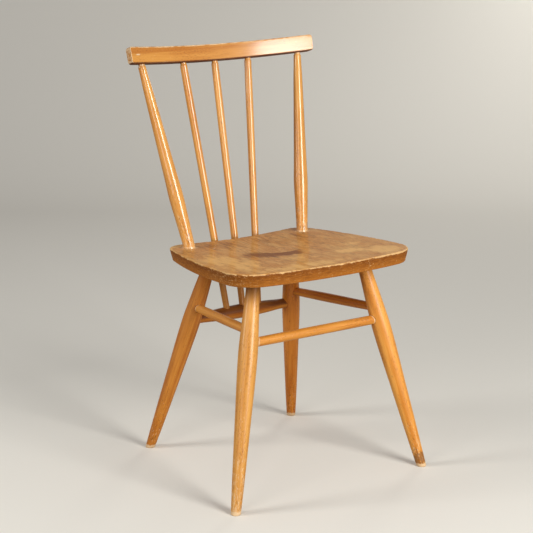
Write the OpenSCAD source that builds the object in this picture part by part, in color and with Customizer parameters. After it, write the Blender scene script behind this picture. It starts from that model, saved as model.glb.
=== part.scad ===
// Stick-back kitchen chair: a dished plank seat on four splayed, turned legs with four stretchers.
// Two swelled outer posts stand in the seat and carry a bent crest rail. Three slim sticks hang
// from the rail, pass just behind the seat and end in the swelled rear stretcher.
// The chair faces -Y, X runs across it, and its feet stand on Z = 0.

/* [Seat] */
// Height of the seat's top at its front edge
seat_height = 459; // [430:1:490]
// Slope of the seat, down towards the back, in degrees
seat_slope = 2.6; // [0:0.2:6]
// Thickness of the plank
seat_t = 26; // [22:0.5:32]
// Front edge of the seat, on the centre line
seat_front_y = -187; // [-210:1:-175]
// Back edge of the seat, on the centre line, where it curves in to clear the sticks
seat_back_y = 164; // [160:0.5:168]
// Centre of the round at each front corner, sideways from the centre line
front_corner_x = 142; // [125:1:150]
// Centre of the round at each front corner, front to back
front_corner_y = -107; // [-120:1:-95]
// Radius of the seat's front corners
front_corner_r = 67; // [60:1:76]
// Centre of the round at each rear corner, sideways from the centre line
rear_corner_x = 136.5; // [132:1:146]
// Centre of the round at each rear corner, front to back
rear_corner_y = 142; // [140:0.5:150]
// Radius of the seat's rear corners
rear_corner_r = 36; // [28:0.5:38]
// Radius of the gentle bow along each side of the seat
side_bow_r = 900; // [700:50:4000]
// How far the plank's edge leans in between its top and its underside
seat_undercut = 5; // [2:0.5:10]
// Radius of the seat's upper edge
seat_edge_r = 3; // [1:0.5:5]
// Depth of the shallow dish in the seat
dish_depth = 5; // [0:0.5:8]

/* [Legs] */
// Front feet, sideways from the centre line
front_foot_x = 225; // [200:1:240]
// Front feet, front to back
front_foot_y = -170; // [-190:1:-150]
// Rear feet, sideways from the centre line
rear_foot_x = 180.5; // [165:0.5:200]
// Rear feet, front to back
rear_foot_y = 232; // [215:1:245]
// Front legs where they enter the seat, sideways
front_leg_x = 129; // [120:1:140]
// Front legs where they enter the seat, front to back
front_leg_y = -87; // [-100:1:-75]
// Rear legs where they enter the seat, sideways
rear_leg_x = 97.5; // [88:0.5:106]
// Rear legs where they enter the seat, front to back
rear_leg_y = 115.5; // [106:0.5:124]
// Diameter of a leg at the floor
foot_d = 19; // [17:0.5:22]
// Diameter of a leg at its swell, where the stretchers enter
swell_d = 37.4; // [34:0.2:40]
// Distance of the swell from the foot, along the leg
swell_at = 298; // [280:1:310]
// Diameter of a leg where it enters the seat
neck_d = 26.4; // [24:0.2:28]
// Depth of the leg's tenon in the seat
leg_tenon = 17; // [12:1:18]

/* [Stretchers] */
// Height of the front stretcher
front_stretcher_z = 309; // [295:1:312]
// Height of the side stretchers on the front legs
side_stretcher_front_z = 331.5; // [328:0.5:340]
// Height of the side stretchers on the rear legs
side_stretcher_rear_z = 316; // [310:0.5:325]
// Height of the rear stretcher
rear_stretcher_z = 288; // [278:1:290]
// Diameter of the front stretcher at its ends
front_stretcher_end_d = 18.4; // [15:0.2:19]
// Diameter of the front stretcher in the middle
front_stretcher_d = 19; // [19:0.5:24]
// Diameter of the side stretchers at their ends
side_stretcher_end_d = 17; // [14:0.5:18]
// Diameter of the side stretchers in the middle
side_stretcher_d = 18.4; // [18:0.2:21]
// Diameter of the rear stretcher at its ends
rear_stretcher_end_d = 20.5; // [16:0.5:22]
// Diameter of the rear stretcher in the middle
rear_stretcher_d = 29; // [25:0.5:32]

/* [Back] */
// Outer posts where they leave the seat, sideways
post_x = 137.6; // [130:0.2:145]
// Outer posts where they leave the seat, front to back
post_y = 132.4; // [128:0.2:140]
// Diameter of a post at the seat
post_seat_d = 23.2; // [22:0.2:26]
// Diameter of a post at its swell
post_swell_d = 29.2; // [27:0.2:32]
// Distance of the post's swell from the seat, along the post
post_swell_at = 106; // [90:1:120]
// Diameter of a post a little under the rail
post_rail_d = 15.4; // [13.2:0.2:16]
// Outer posts where they meet the rail, sideways
post_rail_x = 187.7; // [180:0.2:195]
// Side sticks where they meet the rail, sideways
stick_rail_x = 78; // [70:1:85]
// Side sticks where they meet the rear stretcher, sideways
stick_foot_x = 38; // [34:1:44]
// Distance of the sticks' feet in front of the rear stretcher's axis
stick_foot_forward = 3; // [0:0.5:5]
// Diameter of a stick a little under the rail
stick_rail_d = 14.6; // [13:0.1:15]
// Diameter of a stick at its fullest, in its upper third
stick_full_d = 15.3; // [15:0.1:17]
// Diameter of a stick where it enters the rear stretcher
stick_foot_d = 13; // [12:0.1:14]

/* [Crest rail] */
// Length of the rail between the lower corners of its front face
rail_length = 434; // [410:1:445]
// Radius of the bend of the rail's front face
rail_bend_r = 624; // [560:2:700]
// Height of the rail's face
rail_h = 34; // [32:0.5:40]
// Thickness of the rail
rail_t = 18; // [16:0.5:20]
// Lean of the rail, in degrees
rail_lean = 16; // [10:0.5:18]
// Lower front edge of the rail in the middle, front to back
rail_y = 244; // [238:1:250]
// Lower front edge of the rail in the middle, height
rail_z = 799.6; // [780:0.2:820]
// Slope of each end of the rail, wider at the top, in degrees
rail_end_slope = 2; // [0:0.5:5]
// Radius of the rounded corners of the rail's ends
rail_corner_r = 6; // [3:0.5:8]
// Radius of the rail's long edges
rail_edge_r = 2; // [1:0.5:2.5]

/* [Hidden] */
$fn = 64;
beech = [0.85, 0.58, 0.28];
elm = [0.70, 0.50, 0.32];

// A glued socket is this much wider than the tenon in it
glue_line = 0.2;
// A stretcher's tenon stops this far short of the leg's axis
tenon_gap = 2.5;
post_tenon = 19;
rail_tenon = 18;
rail_tenon_d = 12.4;
// Straight length at the end of a turned piece, ahead of its socket
straight = 8;
// A post or stick tapers to its tenon by this far under the middle of its place in the rail
shoulder = 3;
// The taper starts this far under it
taper = 5.5;
// Steps in a turned profile, points round a seat corner, and points along a seat edge
turn_steps = 28;
corner_steps = 7;
edge_steps = 8;

// The whole chair slides along Y so that its origin is under the middle of its box
rear_y = rail_y + (rail_t - rail_edge_r) * cos(rail_lean)
    + (rail_h - rail_edge_r) * sin(rail_lean) + rail_edge_r;
y_shift = -(rear_y + seat_front_y) / 2;

// ---- places ----

function seat_z(y) = seat_height - (y - seat_front_y) * tan(seat_slope);
function leg_foot(side, front) =
    front ? [side * front_foot_x, front_foot_y, 0] : [side * rear_foot_x, rear_foot_y, 0];
function under_seat(x, y) = [x, y, seat_z(y) - seat_t / cos(seat_slope)];
function leg_top(side, front) =
    front ? under_seat(side * front_leg_x, front_leg_y) : under_seat(side * rear_leg_x, rear_leg_y);
// The point on a leg's axis at height z
function on_leg(side, front, z) =
    let (f = leg_foot(side, front), t = leg_top(side, front)) f + (t - f) * z / t[2];
// The middle of the rail's underside at x
function under_rail(x) =
    let (r = rail_bend_r + rail_t / 2, d = sqrt(r * r - x * x) - rail_bend_r)
    [x, rail_y + d * cos(rail_lean), rail_z - d * sin(rail_lean)];
// The foot of a stick, inside the rear stretcher at x
function in_rear_stretcher(x) =
    let (a = on_leg(1, false, rear_stretcher_z)) [x, a[1] - stick_foot_forward, a[2]];
function post_foot(side) = [side * post_x, post_y, seat_z(post_y)];
function post_top(side) = under_rail(side * post_rail_x);
function stick_foot(side) = in_rear_stretcher(side * stick_foot_x);
function stick_top(side) = under_rail(side * stick_rail_x);

// Draws its children along the line from a to b, with their Z on that line
module along(a, b) {
    d = b - a;
    translate(a)
        rotate([0, acos(d[2] / norm(d)), atan2(d[1], d[0])])
            children();
}

// ---- turned pieces ----

// Slope of a profile at station i of [distance, diameter] stations
function slope_at(st, i) =
    i == 0 ? (st[1][1] - st[0][1]) / (st[1][0] - st[0][0])
    : i == len(st) - 1 ? 0
    : (st[i + 1][1] - st[i - 1][1]) / (st[i + 1][0] - st[i - 1][0]);

// Diameter at distance s, on a smooth curve through the stations
function diameter_at(st, s, i = 0) =
    i < len(st) - 2 && s > st[i + 1][0] ? diameter_at(st, s, i + 1)
    : let (h = st[i + 1][0] - st[i][0], t = (s - st[i][0]) / h)
      st[i][1] * (1 + 2 * t) * pow(1 - t, 2) + slope_at(st, i) * h * t * pow(1 - t, 2)
      + st[i + 1][1] * t * t * (3 - 2 * t) + slope_at(st, i + 1) * h * t * t * (t - 1);

// A turned piece on Z: the stations' curve, then the end points given as [radius, distance]
module turned(st, ahead, behind) {
    first = st[0][0];
    last = st[len(st) - 1][0];
    curve = [for (k = [0 : turn_steps])
        let (s = first + (last - first) * k / turn_steps) [diameter_at(st, s) / 2, s]];
    outline = concat(ahead, curve, behind);
    bottom = outline[0][1];
    top = outline[len(outline) - 1][1];
    rotate([0, 0, 180])
        rotate_extrude()
            polygon(concat([[0, bottom]], outline, [[0, top]]));
}

module leg(side, front) {
    a = leg_foot(side, front);
    b = leg_top(side, front);
    l = norm(b - a);
    stations = [
        [0, foot_d], [62, foot_d + 5], [swell_at * 0.6, swell_d - 6.3], [swell_at, swell_d],
        [swell_at + (l - swell_at) * 0.46, neck_d + 5.9], [l - 2 * straight, neck_d]
    ];
    color(beech)
        translate([0, y_shift, 0])
            difference() {
                along(a, b)
                    turned(stations, [[foot_d / 2 - 0.4, -straight]], [[neck_d / 2, l + leg_tenon]]);
                translate([a[0] - foot_d, a[1] - foot_d, -2 * straight])
                    cube([2 * foot_d, 2 * foot_d, 2 * straight]);
                leg_sockets(side, front);
            }
}

// The stretcher holes in one leg
module leg_sockets(side, front) {
    side_z = front ? side_stretcher_front_z : side_stretcher_rear_z;
    other_side_z = front ? side_stretcher_rear_z : side_stretcher_front_z;
    cross_z = front ? front_stretcher_z : rear_stretcher_z;
    cross_d = front ? front_stretcher_end_d : rear_stretcher_end_d;
    socket(on_leg(side, front, side_z), on_leg(side, !front, other_side_z), side_stretcher_end_d);
    socket(on_leg(side, front, cross_z), on_leg(-side, front, cross_z), cross_d);
}

// A hole from just past a, running towards b, for a tenon of diameter d
module socket(a, b, d) {
    along(a, b)
        translate([0, 0, tenon_gap - 1])
            cylinder(d = d + glue_line, h = swell_d);
}

// A stretcher between two legs, straight at its ends and fuller in the middle
module stretcher(a, b, end_d, middle_d) {
    l = norm(b - a);
    clear = swell_d / 2 + straight;
    reach = l - 2 * clear;
    stations = [for (k = [0 : 6])
        [clear + reach * k / 6, end_d + (middle_d - end_d) * sin(180 * k / 6)]];
    along(a, b)
        turned(stations, [[end_d / 2, tenon_gap]], [[end_d / 2, l - tenon_gap]]);
}

module side_stretcher(side) {
    color(beech)
        translate([0, y_shift, 0])
            stretcher(
                on_leg(side, false, side_stretcher_rear_z), on_leg(side, true, side_stretcher_front_z),
                side_stretcher_end_d, side_stretcher_d);
}

module front_stretcher() {
    color(beech)
        translate([0, y_shift, 0])
            stretcher(
                on_leg(-1, true, front_stretcher_z), on_leg(1, true, front_stretcher_z),
                front_stretcher_end_d, front_stretcher_d);
}

module rear_stretcher() {
    color(beech)
        translate([0, y_shift, 0])
            difference() {
                stretcher(
                    on_leg(-1, false, rear_stretcher_z), on_leg(1, false, rear_stretcher_z),
                    rear_stretcher_end_d, rear_stretcher_d);
                for (side = [-1, 0, 1])
                    along(stick_foot(side), stick_top(side))
                        translate([0, 0, 1])
                            cylinder(d = stick_foot_d + glue_line, h = rear_stretcher_d);
            }
}

// An outer post: a straight tenon in the seat, a swell low down, and a slim tenon in the rail
module post(side) {
    a = post_foot(side);
    b = post_top(side);
    l = norm(b - a);
    stations = [
        [straight, post_seat_d], [post_swell_at * 0.62, post_swell_d - 2.4],
        [post_swell_at, post_swell_d], [post_swell_at * 1.4, post_swell_d - 2.6],
        [l * 0.86, post_rail_d + 3.2], [l - taper, post_rail_d]
    ];
    color(beech)
        translate([0, y_shift, 0])
            along(a, b)
                turned(stations, [[post_seat_d / 2, -post_tenon]],
                    [[rail_tenon_d / 2, l - shoulder], [rail_tenon_d / 2, l + rail_tenon]]);
}

// An inner stick, from its tenon in the rear stretcher to its tenon in the rail
module stick(side) {
    a = stick_foot(side);
    b = stick_top(side);
    l = norm(b - a);
    stations = [
        [20, stick_foot_d], [l * 0.28, stick_foot_d + 1.6], [l * 0.55, stick_full_d - 0.4],
        [l * 0.8, stick_full_d], [l - 48, stick_full_d - 0.1], [l - taper, stick_rail_d]
    ];
    color(beech)
        translate([0, y_shift, 0])
            along(a, b)
                turned(stations, [[stick_foot_d / 2, 2]],
                    [[rail_tenon_d / 2, l - shoulder], [rail_tenon_d / 2, l + rail_tenon]]);
}

// ---- crest rail ----

// The rail's end outline seen from the front: a tall strip with sloped ends and round corners
module rail_face() {
    half = rail_length / 2;
    top = half + rail_h * tan(rail_end_slope);
    r = rail_corner_r;
    low = [for (a = [-90 : 15 : -rail_end_slope]) [half - r + r * cos(a), r + r * sin(a)]];
    high = [for (a = [90 : -15 : -rail_end_slope]) [top - r + r * cos(a), rail_h - r + r * sin(a)]];
    // The first facet of each round runs on past the rail's edge, so that it cuts cleanly through it
    points = concat(
        [low[0] + 5 * (low[0] - low[1])],
        [for (i = [1 : len(low) - 1]) low[i]],
        [for (i = [len(high) - 1 : -1 : 1]) high[i]],
        [high[0] + 5 * (high[0] - high[1])]);
    mirrored = [for (i = [len(points) - 1 : -1 : 0]) [-points[i][0], points[i][1]]];
    polygon(concat(points, mirrored));
}

// The rail's section, with rounded long edges
module rail_section() {
    r = rail_edge_r;
    corners = [[rail_t - r, r, -90], [rail_t - r, rail_h - r, 0], [r, rail_h - r, 90], [r, r, 180]];
    polygon([for (c = corners) for (a = [0 : 30 : 90]) [c[0] + r * cos(c[2] + a), c[1] + r * sin(c[2] + a)]]);
}

module crest_rail() {
    sweep = asin((rail_length / 2 + rail_h) / rail_bend_r);
    color(beech)
        translate([0, y_shift, 0])
            difference() {
                translate([0, rail_y, rail_z])
                    rotate([-rail_lean, 0, 0])
                        intersection() {
                            translate([0, -rail_bend_r, 0])
                                rotate([0, 0, 90 - sweep])
                                    rotate_extrude(angle = 2 * sweep, $fn = 256)
                                        translate([rail_bend_r, 0])
                                            rail_section();
                            translate([0, rail_h, 0])
                                rotate([90, 0, 0])
                                    linear_extrude(height = 4 * rail_h)
                                        rail_face();
                        }
                for (side = [-1, 1])
                    rail_socket(post_foot(side), post_top(side));
                for (side = [-1, 0, 1])
                    rail_socket(stick_foot(side), stick_top(side));
            }
}

// A blind hole in the rail for the tenon of a stick that runs from a up to b
module rail_socket(a, b) {
    along(b, b + (b - a))
        translate([0, 0, -straight])
            cylinder(d = rail_tenon_d + glue_line, h = rail_tenon + straight + 1);
}

// ---- seat ----

// Centre of a circle of radius r that the rounds at a and b, of radius ra and rb, touch inside
function bow_centre(a, ra, b, rb, r) =
    let (
        d = norm(b - a), u = (b - a) / d, n = [u[1], -u[0]], p = r - ra, q = r - rb,
        s = (d * d + p * p - q * q) / (2 * d)
    )
    a + u * s - n * sqrt(p * p - s * s);

// Points on an arc, each as [x, y, outward angle]; inward is -1 where the arc curves in
function arc(c, r, from, to, steps, inward = 1) =
    [for (k = [0 : steps - 1])
        let (t = from + (to - from) * k / steps)
        [c[0] + r * cos(t), c[1] + r * sin(t), inward > 0 ? t : t + 180]];

function direction(a, b) = atan2(b[1] - a[1], b[0] - a[0]);

// One half of the seat's outline, from the middle of the front edge to the middle of the back
function seat_half() =
    let (
        f = [front_corner_x, front_corner_y],
        b = [rear_corner_x, rear_corner_y],
        fh = front_corner_y - seat_front_y,
        front_r = (f[0] * f[0] + fh * fh - pow(front_corner_r, 2)) / (2 * (fh - front_corner_r)),
        front_c = [0, seat_front_y + front_r],
        side_c = bow_centre(f, front_corner_r, b, rear_corner_r, side_bow_r),
        bh = seat_back_y - rear_corner_y,
        back_r = (b[0] * b[0] + bh * bh - pow(rear_corner_r, 2)) / (2 * (rear_corner_r - bh)),
        back_c = [0, seat_back_y + back_r],
        to_front = direction(front_c, f),
        to_side_f = direction(side_c, f),
        to_side_b = direction(side_c, b),
        to_back = direction(b, back_c)
    )
    concat(
        arc(front_c, front_r, -90, to_front, edge_steps),
        arc(f, front_corner_r, to_front, to_side_f, corner_steps),
        arc(side_c, side_bow_r, to_side_f, to_side_b, edge_steps),
        arc(b, rear_corner_r, to_side_b, to_back, corner_steps),
        arc(back_c, back_r, to_back - 180, -90, edge_steps, -1),
        [[0, seat_back_y, 90]]);

// The whole outline, anticlockwise from the middle of the front edge
function seat_outline() =
    let (half = seat_half(), n = len(half))
    concat(half, [for (i = [n - 2 : -1 : 1]) [-half[i][0], half[i][1], 180 - half[i][2]]]);

// Depth of the dish at a point of the seat; it fades out at the front and sides
function bump(t) = abs(t) < 1 ? pow(cos(90 * t), 2) : 0;
function dish(x, y) = dish_depth * bump(x / 165) * bump((y - 40) / 180);

// A ring of the outline, moved in by inset and shrunk to part of its size about the middle
function seat_ring(outline, inset, part, z, dished) =
    [for (p = outline)
        let (
            x = part * (p[0] - inset * cos(p[2])),
            y = part * (p[1] - inset * sin(p[2]))
        )
        [x, y, z - (dished ? dish(x, y) : 0)]];

module plank() {
    outline = seat_outline();
    n = len(outline);
    r = seat_edge_r;
    rings = [
        seat_ring(outline, seat_undercut + 2, 1, -seat_t, false),
        seat_ring(outline, seat_undercut, 1, 2 - seat_t, false),
        seat_ring(outline, 0, 1, -r, true),
        seat_ring(outline, r * (1 - cos(45)), 1, r * (sin(45) - 1), true),
        seat_ring(outline, r, 1, 0, true),
        for (part = [0.88, 0.72, 0.56, 0.4, 0.2]) seat_ring(outline, r, part, 0, true)
    ];
    points = concat([[0, 0, -seat_t]], [for (ring = rings) each ring], [[0, 0, -dish(0, 0)]]);
    last = len(points) - 1;
    faces = concat(
        [for (i = [0 : n - 1]) [0, 1 + i, 1 + (i + 1) % n]],
        [for (k = [0 : len(rings) - 2]) for (i = [0 : n - 1])
            let (a = 1 + k * n + i, b = 1 + k * n + (i + 1) % n) each [[a, a + n, b], [b, a + n, b + n]]],
        [for (i = [0 : n - 1]) [last, last - n + (i + 1) % n, last - n + i]]);
    polyhedron(points, faces);
}

module seat() {
    color(elm)
        translate([0, y_shift, 0])
            difference() {
                translate([0, seat_front_y, seat_height])
                    rotate([-seat_slope, 0, 0])
                        translate([0, -seat_front_y, 0])
                            plank();
                for (side = [-1, 1]) {
                    for (front = [true, false])
                        along(leg_foot(side, front), leg_top(side, front))
                            translate([0, 0, norm(leg_top(side, front) - leg_foot(side, front)) - straight])
                                cylinder(d = neck_d + glue_line, h = straight + leg_tenon + 0.5);
                    along(post_foot(side), post_top(side))
                        translate([0, 0, -post_tenon - 0.5])
                            cylinder(d = post_seat_d + glue_line, h = post_tenon + straight);
                }
            }
}

seat();
leg(-1, true);  // front_left_leg
leg(1, true);  // front_right_leg
leg(-1, false);  // rear_left_leg
leg(1, false);  // rear_right_leg
front_stretcher();
side_stretcher(-1);  // left_stretcher
side_stretcher(1);  // right_stretcher
rear_stretcher();
post(-1);  // left_post
post(1);  // right_post
stick(-1);  // left_stick
stick(0);  // centre_stick
stick(1);  // right_stick
crest_rail();
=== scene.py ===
"""Stick-back kitchen chair: a worn elm seat, turned beech legs, stretchers and sticks, and a bent
crest rail, built on its measured frame. The chair faces -Y and its feet stand on Z = 0."""

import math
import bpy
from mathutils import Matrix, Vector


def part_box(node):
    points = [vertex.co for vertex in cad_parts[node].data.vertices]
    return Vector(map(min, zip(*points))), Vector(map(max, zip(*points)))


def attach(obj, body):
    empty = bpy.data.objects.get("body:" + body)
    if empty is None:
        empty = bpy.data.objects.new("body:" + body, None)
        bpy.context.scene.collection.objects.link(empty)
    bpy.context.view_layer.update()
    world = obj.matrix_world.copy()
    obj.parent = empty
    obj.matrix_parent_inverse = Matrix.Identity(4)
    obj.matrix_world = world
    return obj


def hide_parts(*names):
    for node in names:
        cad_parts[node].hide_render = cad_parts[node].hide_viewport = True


bl_info = {
    "name": "Stick-back Kitchen Chair",
    "version": (1, 0, 0),
    "blender": (4, 5, 0),
    "location": "3D View > Sidebar > Chair",
    "description": "Builds a worn, lacquered stick-back kitchen chair on its measured frame",
    "category": "Add Mesh",
}

import bpy
import numpy as np
from bpy.props import FloatProperty, FloatVectorProperty, IntProperty, PointerProperty
from mathutils import Vector, noise
from mathutils.bvhtree import BVHTree

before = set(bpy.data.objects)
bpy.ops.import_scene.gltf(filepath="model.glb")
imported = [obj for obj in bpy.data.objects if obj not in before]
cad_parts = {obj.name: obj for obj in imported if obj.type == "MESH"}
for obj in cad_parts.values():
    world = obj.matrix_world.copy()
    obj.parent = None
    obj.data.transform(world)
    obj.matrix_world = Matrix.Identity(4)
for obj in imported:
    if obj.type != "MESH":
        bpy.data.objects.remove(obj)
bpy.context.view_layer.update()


# ---- sizes and colours ----


def length(name, description, default):
    return FloatProperty(name=name, description=description, default=default, unit="LENGTH")


def angle(name, description, degrees):
    return FloatProperty(
        name=name, description=description, default=math.radians(degrees), subtype="ANGLE")


def colour(name, description, default):
    return FloatVectorProperty(
        name=name, description=description, default=default, subtype="COLOR", min=0, max=1)


def power(name, description, default):
    return FloatProperty(name=name, description=description, default=default, unit="POWER")


class SeatSizes(bpy.types.PropertyGroup):
    thickness: length("Thickness", "Thickness of the plank", 0.026)
    slope: angle("Slope", "Slope of the seat, down towards the back", 2.6)
    depth: length("Depth", "Front edge to back edge on the centre line", 0.351)
    front_corner: FloatVectorProperty(
        name="Front corner", description="Centre of the front corner's round: sideways, and "
        "back from the front edge", default=(0.142, 0.080), size=2, subtype="XYZ")
    front_radius: length("Front radius", "Radius of the front corners", 0.067)
    rear_corner: FloatVectorProperty(
        name="Rear corner", description="Centre of the rear corner's round: sideways, and "
        "back from the front edge", default=(0.1365, 0.329), size=2, subtype="XYZ")
    rear_radius: length("Rear radius", "Radius of the rear corners", 0.036)
    side_bow: length("Side bow", "Radius of the gentle bow along each side", 0.900)
    undercut: length("Undercut", "How far the edge leans in below the top", 0.005)
    edge_radius: length("Edge radius", "Radius of the upper edge", 0.003)
    lower_radius: length("Lower radius", "Radius of the lower edge", 0.003)
    dish: length("Dish", "Depth of the shallow dish", 0.005)
    dish_half: FloatVectorProperty(
        name="Dish half", description="Half the dish's width, and half its depth from front to "
        "back", default=(0.165, 0.18), size=2, subtype="XYZ")
    dish_middle: length("Dish middle", "Middle of the dish, back from the front edge", 0.227)
    nicks: length("Nicks", "Depth of the deepest nick in the upper edge", 0.0016)


class TurningSizes(bpy.types.PropertyGroup):
    round: IntProperty(
        name="Points round", description="Points round each turned piece", default=64, min=24)
    step: length("Step", "Distance between the rings of a turned piece", 0.003)
    rim: length("Foot rim", "Radius that the floor has worn on the foot's rim", 0.0016)
    foot: length("Foot", "Length over which a leg's rings level out to meet the floor", 0.04)
    tenon: length("Tenon", "Length at the upper end where the tenon's steps are kept", 0.034)


class WearAndShadeSizes(bpy.types.PropertyGroup):
    scuffed: length("Scuffed", "Height up to which the legs are scuffed", 0.16)
    bare_foot: length("Bare foot", "Height of the bare ring round each foot", 0.013)
    marks: length("Marks", "Height of the reddish marks on the front right foot", 0.05)
    shade_front: length("Front shade", "Height where the front legs begin to darken", 0.365)
    # The shade heights below set the painted shade on the legs and sticks under the seat
    shade_rear: length("Rear shade", "Height where the rear legs begin to darken", 0.27)
    shade_full: length("Full shade", "Height where the legs are darkest", 0.43)
    stick_shade: length("Stick shade", "Height below which the sticks darken", 0.452)
    post_rubbed: length("Rubbed posts", "Height below which the posts are rubbed", 0.55)
    joint: length("Joint", "Width of the worn line round each joint", 0.004)
    seat_joint: length("Seat joint", "Width of the chipped lacquer round each post", 0.008)


class RailSizes(bpy.types.PropertyGroup):
    length: length("Length", "Length between the lower corners of the front face", 0.434)
    height: length("Height", "Height of the face", 0.034)
    thickness: length("Thickness", "Thickness of the rail", 0.018)
    bend: length("Bend", "Radius of the bend of the front face", 0.624)
    lean: angle("Lean", "Lean towards the back", 16)
    end_slope: angle("End slope", "Slope of each end, longer at the top", 2)
    corner_radius: length("Corner radius", "Radius of the end corners", 0.006)
    edge_radius: length("Edge radius", "Radius of the long edges", 0.002)
    crown: length("Crown", "How far the front face falls back towards its long edges", 0.0004)


class BeechColours(bpy.types.PropertyGroup):
    pale: colour("Pale", "The pale bands of the lacquered beech", (0.80, 0.42, 0.105))
    honey: colour("Honey", "The honey-brown bands", (0.60, 0.250, 0.040))
    fleck: colour("Fleck", "The short dark flecks", (0.30, 0.095, 0.018))
    bare: colour("Bare", "Bare wood where the lacquer is gone", (0.80, 0.58, 0.34))
    # Grime colour, which also paints the shade under the seat and on upper sides
    grime_and_shade: colour("Grime", "Dirt in the joints and scuffs", (0.115, 0.033, 0.008))


class ElmColours(bpy.types.PropertyGroup):
    top: colour("Top", "The worn brown top", (0.66, 0.292, 0.070))
    faded: colour("Faded", "The paler, faded patches", (0.84, 0.49, 0.17))
    dark: colour("Dark", "The dark lines of the grain", (0.29, 0.100, 0.028))
    stain: colour("Stain", "The reddish-brown stain", (0.22, 0.064, 0.018))
    edge: colour("Edge", "The reddish-brown edge band", (0.21, 0.065, 0.011))
    # The orange lower part of the band is partly a painted highlight
    bright: colour("Bright edge", "The orange lower part of the band", (0.42, 0.150, 0.022))
    bare: colour("Bare", "Bare wood along the worn edge", (0.78, 0.50, 0.22))


class StageSizes(bpy.types.PropertyGroup):
    camera: FloatVectorProperty(
        name="Camera", description="Where the camera stands", default=(-1.7093, -2.5261, 1.1738),
        subtype="TRANSLATION", unit="LENGTH")
    turn: angle("Turn", "How far the camera is turned to the right of straight ahead", 33.877)
    tilt: angle("Tilt", "How far the camera looks down", 14.134)
    lens: FloatProperty(
        name="Lens", description="Focal length of the lens, in millimetres", default=105.87)
    key: power("Key", "Power of the front lamp", 113)
    side: power("Side", "Power of the left lamp", 44)
    fill: power("Fill", "Power of the wide lamp between the two", 20)
    back: power("Back", "Power of the lamp behind on the right", 26)
    sky: FloatProperty(
        name="Sky", description="Strength of the soft light all round", default=0.225)
    front: length("Front", "How far the floor runs towards the camera and past it", 5)
    wide: length("Width", "Width of the floor and the wall", 12)
    room: length("Room", "How far behind the chair the wall stands", 4.2)
    wall: length("Wall", "Height of the wall", 4)
    sweep: length("Sweep", "Radius of the curve from the floor into the wall", 1.8)
    floor: colour("Floor", "The pale floor", (0.86, 0.84, 0.775))
    bounce: colour("Bounce", "The floor's colour in the light that it bounces", (0.26, 0.20, 0.14))


class ChairSettings(bpy.types.PropertyGroup):
    seat: PointerProperty(type=SeatSizes, name="Seat", description="Sizes of the seat")
    turning: PointerProperty(type=TurningSizes, name="Turning", description="The turned pieces")
    # The wear group also sets the heights of the painted shade
    wear: PointerProperty(type=WearAndShadeSizes, name="Wear", description="Where the wood is worn")
    rail: PointerProperty(type=RailSizes, name="Crest rail", description="Sizes of the rail")
    beech: PointerProperty(type=BeechColours, name="Beech", description="Colours of the beech")
    elm: PointerProperty(type=ElmColours, name="Elm", description="Colours of the elm")
    stage: PointerProperty(type=StageSizes, name="Stage", description="Camera, lamps and floor")


# ---- shader maths ----


class Term:
    """One output of a shader node, so that shader maths reads as plain expressions."""

    def __init__(self, shader, socket):
        self.shader = shader
        self.socket = socket

    def math(self, operation, *others):
        terms = dict(enumerate((self, *others)))
        return self.shader.node("ShaderNodeMath", {"operation": operation}, terms)

    def __add__(self, other):
        return self.math("ADD", other)

    __radd__ = __add__

    def __mul__(self, other):
        return self.math("MULTIPLY", other)

    __rmul__ = __mul__

    def __sub__(self, other):
        return self.math("SUBTRACT", other)

    def __rsub__(self, other):
        return self.shader.node("ShaderNodeMath", {"operation": "SUBTRACT"}, {0: other, 1: self})

    def most(self, other):
        """The larger of the two."""
        return self.math("MAXIMUM", other)

    def scaled(self, by):
        """A vector, stretched by one number for each axis."""
        return self.shader.node(
            "ShaderNodeVectorMath", {"operation": "MULTIPLY"}, {0: self, 1: by})

    def moved(self, by):
        """A vector, moved by one number along each axis."""
        return self.shader.node("ShaderNodeVectorMath", {"operation": "ADD"}, {0: self, 1: by})


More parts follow.
